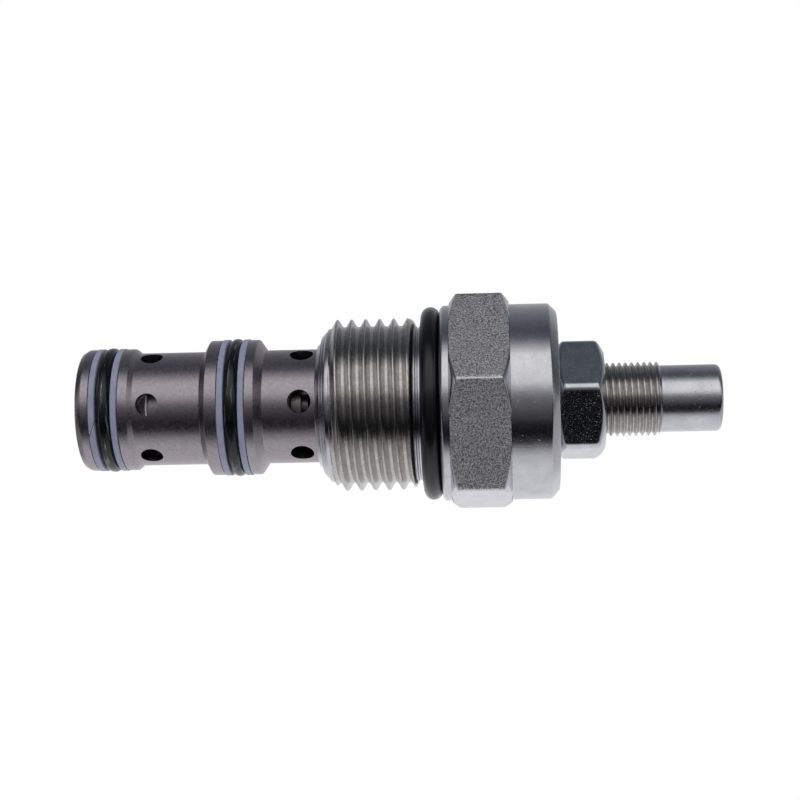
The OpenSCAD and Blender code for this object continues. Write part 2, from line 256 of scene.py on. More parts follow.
class Shader:
    """A Principled material and short ways to wire its textures."""

    def __init__(self, name, colour, metallic=1.0, roughness=0.3, **constants):
        self.material = bpy.data.materials.new(name)
        self.material.use_nodes = True
        self.material.diffuse_color = (*colour, 1)
        self.tree = self.material.node_tree
        self.bsdf = next(n for n in self.tree.nodes if n.type == "BSDF_PRINCIPLED")
        self.colour = colour
        self.bsdf.inputs["Base Color"].default_value = (*colour, 1)
        self.bsdf.inputs["Metallic"].default_value = metallic
        self.bsdf.inputs["Roughness"].default_value = roughness
        for socket, value in constants.items():
            self.bsdf.inputs[socket.replace("_", " ")].default_value = value

    def node(self, kind, **settings):
        """A new node, with its named properties set."""
        made = self.tree.nodes.new(kind)
        for key, value in settings.items():
            setattr(made, key, value)
        return made

    def link(self, source, target):
        """Wires an output to an input."""
        self.tree.links.new(source, target)

    def math(self, operation, a, b=None):
        """Result of a maths node. Each operand is a number or an output."""
        made = self.node("ShaderNodeMath", operation=operation)
        for socket, value in zip(made.inputs, (a, b)):
            if isinstance(value, (int, float)):
                socket.default_value = value
            elif value is not None:
                self.link(value, socket)
        return made.outputs[0]

    def place(self):
        """Place on the object, in metres."""
        return self.node("ShaderNodeTexCoord").outputs["Object"]

    def round_place(self, wander=0.04):
        """Place seen by a lathe tool: radius and height, with a little of X and Y mixed in."""
        parts = self.node("ShaderNodeSeparateXYZ")
        self.link(self.place(), parts.inputs[0])
        x, y, z = parts.outputs
        square = self.math("ADD", self.math("MULTIPLY", x, x), self.math("MULTIPLY", y, y))
        radius = self.math("SQRT", square)
        joined = self.node("ShaderNodeCombineXYZ")
        self.link(self.math("ADD", radius, self.math("MULTIPLY", x, wander)), joined.inputs[0])
        self.link(self.math("MULTIPLY", y, wander), joined.inputs[1])
        self.link(z, joined.inputs[2])
        return joined.outputs[0]

    def noise(self, per_mm, place=None, detail=3.0, rough=0.5):
        """Noise with this many features in a millimetre."""
        made = self.node("ShaderNodeTexNoise")
        made.inputs["Scale"].default_value = per_mm / MM
        made.inputs["Detail"].default_value = detail
        made.inputs["Roughness"].default_value = rough
        self.link(place or self.place(), made.inputs["Vector"])
        return made.outputs["Fac"]

    def ramp(self, source, *stops):
        """Colours for values of the source, from (position, colour or grey) stops."""
        made = self.node("ShaderNodeValToRGB")
        set_stops(made, stops)
        self.link(source, made.inputs[0])
        return made.outputs["Color"]

    def tint(self, source, low, high, span=(0.3, 0.7)):
        """Base colour that runs between two multiples of the shader's own colour."""
        shades = [tuple(c * share for c in self.colour) for share in (low, high)]
        self.link(self.ramp(source, *zip(span, shades)), self.bsdf.inputs["Base Color"])

    def vary_roughness(self, source, low, high, span=(0.3, 0.7)):
        """Roughness that runs between two values."""
        self.link(self.ramp(source, *zip(span, (low, high))), self.bsdf.inputs["Roughness"])

    def bump(self, source, depth_mm):
        """Adds relief of this depth on top of any relief there already."""
        made = self.node("ShaderNodeBump")
        made.inputs["Distance"].default_value = depth_mm * MM
        self.link(source, made.inputs["Height"])
        current = self.bsdf.inputs["Normal"]
        if current.is_linked:
            self.link(current.links[0].from_socket, made.inputs["Normal"])
        self.link(made.outputs[0], current)


def cage_steel(colours):
    """Satin heat-treated steel with fine turning marks and brown-violet mottling."""
    s = Shader("cage_steel", tuple(colours.cage), roughness=0.24)
    lathe = s.round_place()
    s.tint(s.noise(2.4, detail=6.0, rough=0.7), 0.86, 1.12)
    s.vary_roughness(s.noise(2.2, detail=5.0), 0.24, 0.34)
    s.bump(s.noise(8.0, lathe, detail=3.0), 0.006)
    s.bump(s.noise(9.0, detail=3.0), 0.004)
    return s.material


def turned_zinc(name, colour, roughness, pits):
    """Bright zinc over a turned face, with fine rings and scattered pits."""
    s = Shader(name, tuple(colour), roughness=roughness)
    s.tint(s.noise(0.5, detail=5.0, rough=0.6), 0.88, 1.08)
    s.vary_roughness(s.noise(3.0, detail=4.0), roughness * 0.8, roughness * 1.35)
    s.bump(s.noise(7.0, s.round_place(0.02), detail=2.0), 0.003)
    s.bump(s.noise(5.5, detail=3.0), pits * 0.4)
    s.bump(s.ramp(s.noise(3.2, detail=2.0), (0.24, 0.0), (0.29, 1.0)), pits)
    return s.material


def rolled_hexagon(colours):
    """Zinc over the rough rolled flats of the bar, as a glittering grain."""
    s = Shader("rolled_hexagon", tuple(colours.flats), roughness=0.45)
    grain = s.noise(6.0, detail=2.0, rough=0.6)
    s.tint(grain, 0.36, 1.56, span=(0.38, 0.62))
    s.vary_roughness(s.noise(5.0, detail=2.0), 0.26, 0.46)
    s.bump(grain, 0.085)
    s.bump(s.noise(1.4, detail=3.0), 0.025)
    return s.material


def thread_zinc(name, colour):
    """Zinc in a cut thread, a little yellow, with tone and roughness that vary at random."""
    s = Shader(name, tuple(colour), roughness=0.18)
    s.tint(s.noise(1.6, detail=5.0, rough=0.6), 0.78, 1.1)
    s.vary_roughness(s.noise(4.0, detail=3.0), 0.12, 0.26)
    s.bump(s.noise(12.0, s.round_place(0.3), detail=2.0), 0.006)
    return s.material


def plated_nut(colours):
    """Mirror-bright zinc with tiny pits that sparkle."""
    s = Shader("plated_nut", tuple(colours.nut), roughness=0.14)
    pits = s.noise(7.0, detail=2.0, rough=0.55)
    s.tint(s.noise(0.6, detail=4.0), 0.86, 1.06)
    s.vary_roughness(s.noise(4.0, detail=3.0), 0.1, 0.24)
    s.bump(s.ramp(pits, (0.27, 0.0), (0.33, 1.0)), 0.008)
    s.bump(s.noise(1.2, detail=3.0), 0.01)
    return s.material


def oiled_rubber_with_painted_glints(colours, name, glint):
    """Black nitrile with oil streaks painted as glints: in the streaks the base colour turns grey
    and metallic, with this glint brightness.
    """
    s = Shader(name, tuple(colours.rubber), metallic=0.0, roughness=0.2, Specular_IOR_Level=0.5)
    streaks = s.noise(3.2, s.round_place(0.1), detail=3.0, rough=0.55)
    # Painted glints: where the oil streaks run, a grey metallic base colour stands in for
    # highlights
    oil_painted_glint_mask = s.ramp(streaks, (0.58, 0.0), (0.7, 0.6))
    painted_glint_grey = (glint, glint, glint * 1.02)
    s.link(s.ramp(oil_painted_glint_mask, (0.0, s.colour), (1.0, painted_glint_grey)), s.bsdf.inputs["Base Color"])
    s.link(oil_painted_glint_mask, s.bsdf.inputs["Metallic"])
    s.vary_roughness(s.noise(1.2, s.round_place(0.3), detail=3.0), 0.12, 0.28)
    s.bump(streaks, 0.02)
    s.bump(s.noise(5.0, detail=2.0), 0.004)
    return s.material


def backup_plastic(colours):
    """Waxy pale fluoropolymer with faint smears."""
    s = Shader("backup_plastic", tuple(colours.backup), metallic=0.0, roughness=0.42)
    s.tint(s.noise(0.9, detail=4.0), 0.86, 1.08)
    s.vary_roughness(s.noise(2.5, detail=3.0), 0.34, 0.55)
    s.bump(s.noise(2.0, detail=3.0), 0.012)
    return s.material


def inner_steel(name, colour, roughness):
    """Plain turned or ground steel for the pieces inside."""
    s = Shader(name, colour, roughness=roughness)
    s.tint(s.noise(1.0, detail=4.0), 0.8, 1.1)
    s.vary_roughness(s.noise(3.0, detail=3.0), roughness * 0.8, roughness * 1.3)
    s.bump(s.noise(9.0, s.round_place(), detail=2.0), 0.004)
    return s.material


# Settings shown in the panel


def length(name, description, value_mm):
    """A length property with its default in millimetres."""
    return FloatProperty(
        name=name, description=description, default=value_mm * MM, unit="LENGTH",
        subtype="DISTANCE", precision=6,
    )


def angle(name, description, degrees):
    """An angle property with its default in degrees."""
    return FloatProperty(
        name=name, description=description, default=math.radians(degrees), unit="ROTATION",
        subtype="ANGLE",
    )


def colour(name, description, value):
    """A colour property."""
    return FloatVectorProperty(
        name=name, description=description, default=value, min=0.0, max=1.0, subtype="COLOR",
    )


class ValveSizes(bpy.types.PropertyGroup):
    """Sizes of the details that the frame doesn't have."""

    port_pitch: length("Port thread pitch", "Pitch of the thread on the body", 1.8143)
    port_root: length("Port thread root", "Radius at the bottom of the body's thread", 10.12)
    port_crest: length("Port crest", "Height of a crest at angle 180 on the body", -11.47)
    screw_pitch: length("Screw pitch", "Pitch of the adjusting screw's thread", 0.79375)
    screw_root: length("Screw root", "Radius at the bottom of the screw's thread", 4.3)
    body_flats: length("Body flats", "Width of the body's hexagon across its flats", 25.4)
    body_turn: angle("Body turn", "Angle of the first corner of the body's hexagon", 18)
    body_easing: length("Body corner easing", "Rounding of the body's hexagon corners", 0.45)
    nut_flats: length("Nut flats", "Width of the lock nut across its flats", 14)
    nut_turn: angle("Nut turn", "Angle of the first corner of the lock nut", 17.4)
    nut_easing: length("Nut corner easing", "Rounding of the lock nut's corners", 0.7)
    seal_wave: length("Seal wave", "How far the land seals wander from flat", 0.06)
    backup_wave: length("Backup wave", "How far the backup rings' edges wander", 0.035)
    backup_cut: length("Backup cut", "Width of the slanting cut in a backup ring", 0.1)


class ValveColours(bpy.types.PropertyGroup):
    """Colours of the visible materials."""

    cage: colour("Cage", "Heat-treated steel of the cage", (0.375, 0.338, 0.372))
    zinc: colour("Turned zinc", "Zinc on the collar and the turned end", (0.62, 0.62, 0.665))
    flats: colour("Flats", "Zinc on the rough flats of the hexagon", (0.60, 0.585, 0.61))
    thread: colour("Threads", "Zinc in the threads", (0.56, 0.54, 0.53))
    nut: colour("Lock nut", "Zinc on the lock nut", (0.62, 0.64, 0.68))
    rubber: colour("Rubber", "Nitrile of the seals", (0.006, 0.006, 0.007))
    backup: colour("Backup rings", "Plastic of the backup rings", (0.56, 0.60, 0.80))


def size(name):
    """One of the panel's lengths, in millimetres."""
    return getattr(bpy.context.scene.valve_sizes, name) / MM


def turn(name):
    """One of the panel's angles, in degrees."""
    return math.degrees(getattr(bpy.context.scene.valve_sizes, name))


def set_materials(piece, *materials):
    """Gives the object these materials and no others."""
    piece.data.materials.clear()
    for material in materials:
        piece.data.materials.append(material)


def add_piece(piece, body, node, slot, *materials):
    """Puts a finished piece in a node's place on its body."""
    set_materials(piece, *materials)
    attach(piece, body)
    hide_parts(node)
    return piece


# Body: radii and heights of its turned details


THREAD_LOW, THREAD_HIGH = -13.9, -3.2
# The thread starts this far inside its root, and rises this much for each millimetre
RUN_IN_DEPTH, RUN_IN_SLOPE = 0.1, 2.2
# Height where the blank rounds off towards the neck
ROUND_FROM = -4.45
# Number of the last crest, from where the groove fades as the tool lifts
LAST_CREST = 4
# Angle at which the tool starts to lift, and the share of a turn that it takes
LIFT_FROM, LIFT_SHARE = math.radians(90), 0.28
NECK_R = 10.05
COLLAR_R, COLLAR_H, COLLAR_EDGE = 12.6, 1.2, 0.4
LIP_R, LIP_TOP = 7.4, -15.0
HEX_TOP, HEX_CHAMFER = 8.85, 1.0
TOP_CHAMFER = 1.05
SCREW_HOLE_R = 4.8
CHAMBER_R, CHAMBER_TOP = 6.35, 9.4
POCKET_R, POCKET_TOP = 8.5, -11.5


def port_thread():
    """The port thread's radius as a function of angle and height."""
    crest_r = mount_radius("port_thread")
    root_r, pitch, crest_z = size("port_root"), size("port_pitch"), size("port_crest")
    start_r = root_r - RUN_IN_DEPTH

    def radius(a, z):
        run_in = start_r + (z - THREAD_LOW) * RUN_IN_SLOPE
        past = min(max((z - ROUND_FROM) / (THREAD_HIGH - ROUND_FROM), 0.0), 1.0)
        run_out = NECK_R + (crest_r - NECK_R) * math.sqrt(1 - past * past)
        cut = thread_radius(a, z, crest_r, root_r, pitch, crest_z)
        share = (a - LIFT_FROM) % FULL_TURN / FULL_TURN
        turns = (z - crest_z) / pitch - share + 0.5 - LIFT_FROM / FULL_TURN
        beyond = smooth_step((turns - LAST_CREST + 0.05) / 0.1)
        cut += (crest_r - 0.02 - cut) * beyond * smooth_step(share / LIFT_SHARE)
        return max(min(cut, run_in, run_out), start_r if z <= THREAD_LOW else NECK_R)

    return radius


def body_rows():
    """Rows round the body, from the crimped lip up the outside and down the inside."""
    bottom, top = z_range("hex_body")
    lip = [(LIP_R, LIP_TOP), (LIP_R, bottom), (7.86, bottom)]
    cone = fillet(
        [
            (7.95, bottom + 0.12), (8.4, -15.3), (9.0, -15.2), (9.12, -14.95), (9.4, -14.85),
            (9.52, -14.6), (9.9, -14.42), (10.02, THREAD_LOW - 0.1),
        ],
        0.09,
    )
    thread = helix_rows(THREAD_LOW, THREAD_HIGH, size("port_pitch"), 20, port_thread())
    neck = fillet(
        [
            (NECK_R, THREAD_HIGH + 0.03), (NECK_R, -3.08), (9.85, -3.0), (9.85, -2.8),
            (NECK_R, -2.7), (NECK_R, 0.0), (COLLAR_R - COLLAR_EDGE, 0.0),
            (COLLAR_R, COLLAR_EDGE), (COLLAR_R, COLLAR_H),
        ],
        0.12,
    )
    upper = fillet(
        [
            (COLLAR_R, HEX_TOP), (COLLAR_R, top - TOP_CHAMFER), (COLLAR_R - TOP_CHAMFER, top),
            (SCREW_HOLE_R, top),
        ],
        0.16,
    )
    inside = [
        (SCREW_HOLE_R, CHAMBER_TOP), (CHAMBER_R, CHAMBER_TOP), (CHAMBER_R, POCKET_TOP),
        (POCKET_R, POCKET_TOP), (POCKET_R, LIP_TOP),
    ]
    return lip + cone + thread + neck + hexagon_rows() + upper + inside


def hexagon_rows(edge_in=0.05, edge_up=0.07, steps=8):
    """Rows up the body's hexagon, which meet its chamfers where the flats do."""
    flats, start, easing = size("body_flats"), turn("body_turn"), size("body_easing")
    face_r = flats / math.sqrt(3) - HEX_CHAMFER * math.sqrt(3)
    height = HEX_TOP - COLLAR_H

    def side(a):
        return hexagon_radius(a, flats, start, easing)

    def drop(a):
        return max(side(a) - face_r, 0.0) / math.sqrt(3)

    def edge(z, sign, inset, rise):
        return lambda a: (side(a) - inset, z + sign * (drop(a) + rise))

    def face(z):
        return lambda a: (min(side(a), face_r), z)

    def flat(share):
        return lambda a: (
            side(a), COLLAR_H + drop(a) + edge_up + (height - 2 * drop(a) - 2 * edge_up) * share
        )

    lower = [face(COLLAR_H), edge(COLLAR_H, 1, edge_in, 0.0), edge(COLLAR_H, 1, 0.0, edge_up)]
    upper = [edge(HEX_TOP, -1, 0.0, edge_up), edge(HEX_TOP, -1, edge_in, 0.0), face(HEX_TOP)]
    return lower + [flat(k / steps) for k in range(1, steps)] + upper


def paint_body(piece):
    """Gives the rough flats, the thread and the turned faces of the body their materials."""
    corner_turn = turn("body_turn")
    turned, rolled, cut = range(3)
    # The flat in the last sixth of the turn is planed smooth, so it has the turned look
    planed_from = corner_turn + 300
    for face in piece.data.polygons:
        centre, normal = face.center / MM, face.normal
        radius, upright = math.hypot(centre.x, centre.y), math.hypot(normal.x, normal.y)
        bearing = (math.degrees(math.atan2(centre.y, centre.x)) - corner_turn) % 60
        flat = COLLAR_H < centre.z < HEX_TOP and upright > 0.95 and 0.3 < bearing < 59.7
        planed = math.degrees(math.atan2(normal.y, normal.x)) % 360 > planed_from
        if flat and not planed and radius > COLLAR_R + 0.02:
            face.material_index = rolled
        elif THREAD_LOW < centre.z < THREAD_HIGH - 0.1 and radius > NECK_R - 0.05:
            face.material_index = cut
        else:
            face.material_index = turned


class VALVE_OT_body(bpy.types.Operator):
    """Builds the body with its hexagon and its port thread"""

    bl_idname = "valve.body"
    bl_label = "Body"

    def execute(self, context):
        colours = context.scene.valve_colours
        piece = turned_piece("body_shell", body_rows(), hexagon_angles(turn("body_turn")))
        add_piece(
            piece, BODY, "hex_body", "plated_body",
            turned_zinc("turned_zinc", colours.zinc, 0.17, 0.012),
            rolled_hexagon(colours),
            thread_zinc("port_thread_zinc", colours.thread),
        )
        paint_body(piece)
        return {"FINISHED"}


# Cage: radii and heights of its lands, grooves and holes


GROOVE_DEPTH = 1.57
LOWER_GROOVE, UPPER_GROOVE = (-44.65, -40.95), (-28.15, -24.65)
LOWER_LAND, UPPER_LAND = (-45.65, -39.75), (-29.7, -23.5)
LOWER_BARREL_R, LOWER_BARREL = 7.32, (-39.05, -30.5)
UPPER_BARREL_R, UPPER_BARREL = 7.35, (-22.55, -14.98)
HEAD_R = 8.45
BORE_R, RING_GROOVE_R, RING_GROOVE = 5.0, 5.56, (-39.92, -38.92)
LOWER_HOLE_R, LOWER_HOLE_Z = 1.425, -37.2
UPPER_HOLE_R, UPPER_HOLE_Z = 1.5, -17.8
HOLES_IN_ROW, FIRST_HOLE_DEG = 6, 25
# Faces within this radius and above this height, the bore and the walls of the holes, are painted
# near black as shade inside the cage
PAINTED_SHADE_R, PAINTED_SHADE_ABOVE = 7.2, -40.5


def cage_rows():
    """Rows round the cage: its lands, seal grooves and barrels outside, and its bore inside."""
    low, top = z_range("cage")
    lower_r, upper_r = mount_radius("lower_land"), mount_radius("upper_land")
    lower_floor, upper_floor = lower_r - GROOVE_DEPTH, upper_r - GROOVE_DEPTH
    outside = [
        (5.2, low), (7.46, low), (lower_r, LOWER_LAND[0]), (lower_r, LOWER_GROOVE[0]),
        (lower_floor, LOWER_GROOVE[0]), (lower_floor, LOWER_GROOVE[1]),
        (lower_r, LOWER_GROOVE[1]), (lower_r, LOWER_LAND[1]),
        (LOWER_BARREL_R, LOWER_BARREL[0]), (LOWER_BARREL_R, LOWER_BARREL[1]),
        (upper_r, UPPER_LAND[0]), (upper_r, UPPER_GROOVE[0]), (upper_floor, UPPER_GROOVE[0]),
        (upper_floor, UPPER_GROOVE[1]), (upper_r, UPPER_GROOVE[1]), (upper_r, UPPER_LAND[1]),
        (UPPER_BARREL_R, UPPER_BARREL[0]), (UPPER_BARREL_R, UPPER_BARREL[1]),
        (HEAD_R, UPPER_BARREL[1]), (HEAD_R, top), (5.2, top),
    ]
    inside = [
        (BORE_R, top - 0.2), (BORE_R, RING_GROOVE[1]), (RING_GROOVE_R, RING_GROOVE[1]),
        (RING_GROOVE_R, RING_GROOVE[0]), (BORE_R, RING_GROOVE[0]), (BORE_R, low + 0.2),
    ]
    path = fillet(outside, 0.14)
    rows = []
    for here, there in zip(path, path[1:]):
        rise = there[1] - here[1]
        steps = max(1, round(abs(rise) / 0.9)) if here[0] == there[0] else 1
        rows += [(here[0], here[1] + rise * i / steps) for i in range(steps)]
    return rows + [path[-1]] + inside


def hole_cutter(radius, height, reach_mm=7, length_mm=6):
    """Round bars that point outwards at one height, one for each hole of a row."""
    bm = bmesh.new()
    for k in range(HOLES_IN_ROW):
        bearing = math.radians(FIRST_HOLE_DEG + 360 / HOLES_IN_ROW * k)
        place = (
            Matrix.Translation((0, 0, height * MM))
            @ Matrix.Rotation(bearing, 4, "Z")
            @ Matrix.Translation((reach_mm * MM, 0, 0))
            @ Matrix.Rotation(math.radians(90), 4, "Y")
        )
        bmesh.ops.create_cone(
            bm, cap_ends=True, segments=56, radius1=radius * MM, radius2=radius * MM,
            depth=length_mm * MM, matrix=place,
        )
    return finish_mesh(bm, "hole_cutter")


def radial_normals(mesh):
    """Keeps the shading of the round faces true where holes cut them."""
    normals = []
    for face in mesh.polygons:
        for corner in face.vertices:
            place = mesh.vertices[corner].co
            out = Vector((place.x, place.y, 0)).normalized()
            facing = face.normal.dot(out)
            normals.append(out * math.copysign(1, facing) if abs(facing) > 0.998 else Vector())
    mesh.normals_split_custom_set(normals)


class VALVE_OT_cage(bpy.types.Operator):
    """Builds the cage with its lands, grooves and drilled holes"""

    bl_idname = "valve.cage"
    bl_label = "Cage"

    def execute(self, context):
        piece = turned_piece("valve_cage", cage_rows(), even_angles(240))
        cutters = [
            hole_cutter(LOWER_HOLE_R, LOWER_HOLE_Z), hole_cutter(UPPER_HOLE_R, UPPER_HOLE_Z),
        ]
        for cutter in cutters:
            cut = piece.modifiers.new("holes", "BOOLEAN")
            cut.operation, cut.solver, cut.object = "DIFFERENCE", "EXACT", cutter
        soften = piece.modifiers.new("edge_break", "BEVEL")
        soften.width, soften.segments, soften.limit_method = 0.09 * MM, 2, "ANGLE"
        soften.angle_limit = math.radians(45)
        evaluated = piece.evaluated_get(context.evaluated_depsgraph_get())
        mesh = bpy.data.meshes.new_from_object(evaluated)
        piece.modifiers.clear()
        piece.data = mesh
        for cutter in cutters:
            bpy.data.objects.remove(cutter)
        mesh.set_sharp_from_angle(angle=math.radians(40))
        radial_normals(mesh)
        outside = cage_steel(context.scene.valve_colours)
        # Near-black steel for the bore and the hole walls: painted shade deep inside the cage
        bore = inner_steel("bore_painted_shade", (0.10, 0.095, 0.10), 0.4)
        add_piece(piece, BODY, "cage", "cage_steel", outside, bore)
        for face in mesh.polygons:
            centre = face.center / MM
            # Faces of the bore and hole walls get the painted shade
            drilled = math.hypot(centre.x, centre.y) < PAINTED_SHADE_R and centre.z > PAINTED_SHADE_ABOVE
            face.material_index = 1 if drilled else 0
        return {"FINISHED"}


# Adjusting screw: radii, and heights above its lower end


SCREW_CREST_R = 4.7625
SCREW_THREAD = (5.2, 24.6)
SHANK_R = 4.2
HEAD_RIM_R, HEAD_H = 6.32, 4.35
SEAL_GROOVE_R, SEAL_GROOVE = 4.53, (0.7, 3.55)
TIP_ROUND = 0.7
# The cup for the thrust ball, with its middle this far below the screw's lower end
CUP_R, CUP_DROP = 1.62, 0.5
# Key socket: its corners' rounding, its chamfer's radius and depth, and its drill point
KEY_FLATS, KEY_DEPTH = 3.97, 4.5
KEY_ROUND, KEY_MOUTH_R, KEY_MOUTH_DEPTH, KEY_POINT = 0.05, 2.42, 0.22, 0.4
# Rise of the thread's run-in and fall of its run-out for each millimetre
SCREW_IN_SLOPE, SCREW_OUT_SLOPE = 1.6, 1.4
# Heights in the shared frame between which the screw looks freshly cut
CUT_LOOK = (8, 27.9)


def screw_rows():
    """Rows round the adjusting screw, from its ball cup to the bottom of its key socket."""
    bottom, top = z_range("adjusting_screw")
    end_r = mount_radius("adjuster_end")
    root_r, pitch = size("screw_root"), size("screw_pitch")
    low, high = (bottom + height for height in SCREW_THREAD)

    def thread(a, z):
        run_in = root_r + (z - low) * SCREW_IN_SLOPE
        run_out = end_r + (high - z) * SCREW_OUT_SLOPE
        return min(thread_radius(a, z, SCREW_CREST_R, root_r, pitch, low), run_in, run_out)

    cup = arc((0, bottom - CUP_DROP), CUP_R, 90, 18)
    groove_low, groove_high = (bottom + height for height in SEAL_GROOVE)
    head = fillet(
        [
            cup[-1], (HEAD_RIM_R, bottom), (HEAD_RIM_R, groove_low), (SEAL_GROOVE_R, groove_low),
            (SEAL_GROOVE_R, groove_high), (HEAD_RIM_R, groove_high),
            (HEAD_RIM_R, bottom + HEAD_H), (SHANK_R, bottom + HEAD_H), (SHANK_R, low - 0.1),
        ],
        0.1,
    )
    tip = arc((end_r - TIP_ROUND, top - TIP_ROUND), TIP_ROUND, 0, 90, 8)

    def socket(depth):
        return lambda a: (hexagon_radius(a, KEY_FLATS, 0, KEY_ROUND), top - depth)

    hole = [
        (KEY_MOUTH_R, top), socket(KEY_MOUTH_DEPTH), socket(KEY_DEPTH),
        (0.0, top - KEY_DEPTH - KEY_POINT),
    ]
    rows = helix_rows(low, high, pitch, 12, thread)
    return cup + head[1:] + rows + [(end_r, high + 0.05)] + tip + hole


class VALVE_OT_screw(bpy.types.Operator):
    """Builds the adjusting screw with its thread and key socket"""

    bl_idname = "valve.screw"
    bl_label = "Adjusting screw"

    def execute(self, context):
        colours = context.scene.valve_colours
        piece = turned_piece("adjuster_stem", screw_rows(), even_angles(120), closed=False)
        add_piece(
            piece, "adjuster", "adjusting_screw", "screw_steel",
            turned_zinc("screw_end_zinc", colours.zinc, 0.2, 0.028),
            thread_zinc("screw_thread_zinc", colours.thread),
        )
        low, high = CUT_LOOK
        for face in piece.data.polygons:
            face.material_index = 1 if low < face.center.z / MM < high else 0
        return {"FINISHED"}


# Lock nut


# How far inside the corners the lower and upper faces' rims are, and their rounding
NUT_LOWER_RIM, NUT_UPPER_RIM, NUT_RIM_ROUND = 1.0, 1.75, 0.55
# Inner edges of the two faces
NUT_LOWER_R, NUT_UPPER_R = 6.75, 6.1
# The bore with the chamfer at its top, and the pocket for the seal at its foot
NUT_BORE_R, NUT_MOUTH_R, NUT_MOUTH_DEPTH = 4.82, 5.35, 0.5
NUT_SEAL_R, NUT_SEAL_H = 5.9, 1.2
# Distances of the rows from each end, closer where the rim curves
NUT_ROWS = (0.0, 0.03, 0.07, 0.12, 0.18, 0.25, 0.33, 0.42, 0.52, 0.64, 0.8, 1.0, 1.3, 1.8)


def nut_rows():
    """Rows round the lock nut, up its eased hexagon and down its bore."""
    low, high = z_range("lock_nut")
    flats, start, easing = size("nut_flats"), turn("nut_turn"), size("nut_easing")
    corner = flats / math.sqrt(3)

    def at(z):
        lower_rim = corner - NUT_LOWER_RIM + math.sqrt(3) * (z - low)
        upper_rim = corner - NUT_UPPER_RIM + math.sqrt(3) * (high - z)
        rim = min(lower_rim, upper_rim)
        return lambda a: (
            smooth_min(hexagon_radius(a, flats, start, easing), rim, NUT_RIM_ROUND), z
        )

    heights = [low + d for d in NUT_ROWS] + [(low + high) / 2]
    heights += [high - d for d in reversed(NUT_ROWS)]
    bore = [
        (NUT_MOUTH_R, high), (NUT_BORE_R, high - NUT_MOUTH_DEPTH),
        (NUT_BORE_R, low + NUT_SEAL_H), (NUT_SEAL_R, low + NUT_SEAL_H), (NUT_SEAL_R, low),
    ]
    sides = [at(z) for z in heights]
    return [(NUT_LOWER_R, low)] + sides + [(NUT_UPPER_R, high)] + bore


class VALVE_OT_nut(bpy.types.Operator):
    """Builds the lock nut"""

    bl_idname = "valve.nut"
    bl_label = "Lock nut"

    def execute(self, context):
        colours = context.scene.valve_colours
        angles = hexagon_angles(turn("nut_turn"), reach=6, step=0.5)
        piece = turned_piece("nut_blank", nut_rows(), angles)
        add_piece(piece, "nut", "lock_nut", "nut_steel", plated_nut(colours))
        return {"FINISHED"}


# Seals


# Inner radii of the backup rings
NOSE_BACKUP_R, MIDDLE_BACKUP_R = 6.4, 7.25


def wander(angle_rad, seed, waves=3):
    """A smooth offset from -1 to 1 that comes back to its start after one turn."""
    orders = range(2, 2 + waves)
    total = sum(math.sin(k * angle_rad + 1.7 * seed * k) / k for k in orders)
    return total / sum(1 / k for k in orders)


def seal_piece(name, node, wave, seed):
    """A round-section seal that wanders a little from flat."""
    low, high = z_range(node)
    section, level = high - low, (low + high) / 2
    middle = outer_radius(node) - section / 2
    half = section / 2 - wave * 0.5

    def row(t):
        c, s = math.cos(t), math.sin(t)
        return lambda a: (middle + half * c, level + half * s + wave * wander(a, seed))

    return turned_piece(name, [row(t) for t in even_angles(28)[:-1]], even_angles(144))


def backup_piece(name, node, inner_r, cut_deg, seed, slant_deg=66, ease=0.12, columns=160):
    """A flat ring with eased edges that wander, split by a slanting cut."""
    low, high = z_range(node)
    outer_r = outer_radius(node)
    eased_r, turned_r = outer_r - ease, outer_r - ease / 4
    wave, gap = size("backup_wave"), size("backup_cut") / outer_r
    slant = math.tan(math.radians(slant_deg))
    # Radius, height, and the way in from each flat face
    section = [
        (inner_r, low, 1), (eased_r, low, 1), (turned_r, low + ease / 3, 1),
        (outer_r, low + ease, 1), (outer_r, high - ease, -1), (turned_r, high - ease / 3, -1),
        (eased_r, high, -1), (inner_r, high, -1),
    ]
    rings = []
    for i in range(columns + 1):
        ring = []
        for r, z, inward in section:
            lean = -slant * (z - (low + high) / 2) / outer_r
            a = math.radians(cut_deg) + lean + gap + (FULL_TURN - 2 * gap) * i / columns
            ring.append((r, a, z + inward * wave * (1 + wander(a, seed + inward))))
        rings.append(ring)
    return strip_piece(name, rings)


class VALVE_OT_seals(bpy.types.Operator):
    """Builds the rubber seals on the lands and under the collar"""

    bl_idname = "valve.seals"
    bl_label = "Rubber seals"

    def execute(self, context):
        colours = context.scene.valve_colours
        # Land seals get bright painted glints along their oil streaks, the flange seal faint ones
        oily = oiled_rubber_with_painted_glints(colours, "oiled_rubber_with_painted_glints", 0.5)
        dull = oiled_rubber_with_painted_glints(colours, "flange_rubber", 0.06)
        wave = size("seal_wave")
        plan = (
            ("nose_land_seal", "lower_o_ring", wave, 1, oily),
            ("middle_land_seal", "upper_o_ring", wave, 2, oily),
            ("flange_seal", "flange_o_ring", 0.02, 3, dull),
        )
        for name, node, reach, seed, rubber in plan:
            add_piece(seal_piece(name, node, reach, seed), BODY, node, "nitrile", rubber)
        set_materials(frame["nodes"]["adjuster_o_ring"], dull)
        return {"FINISHED"}


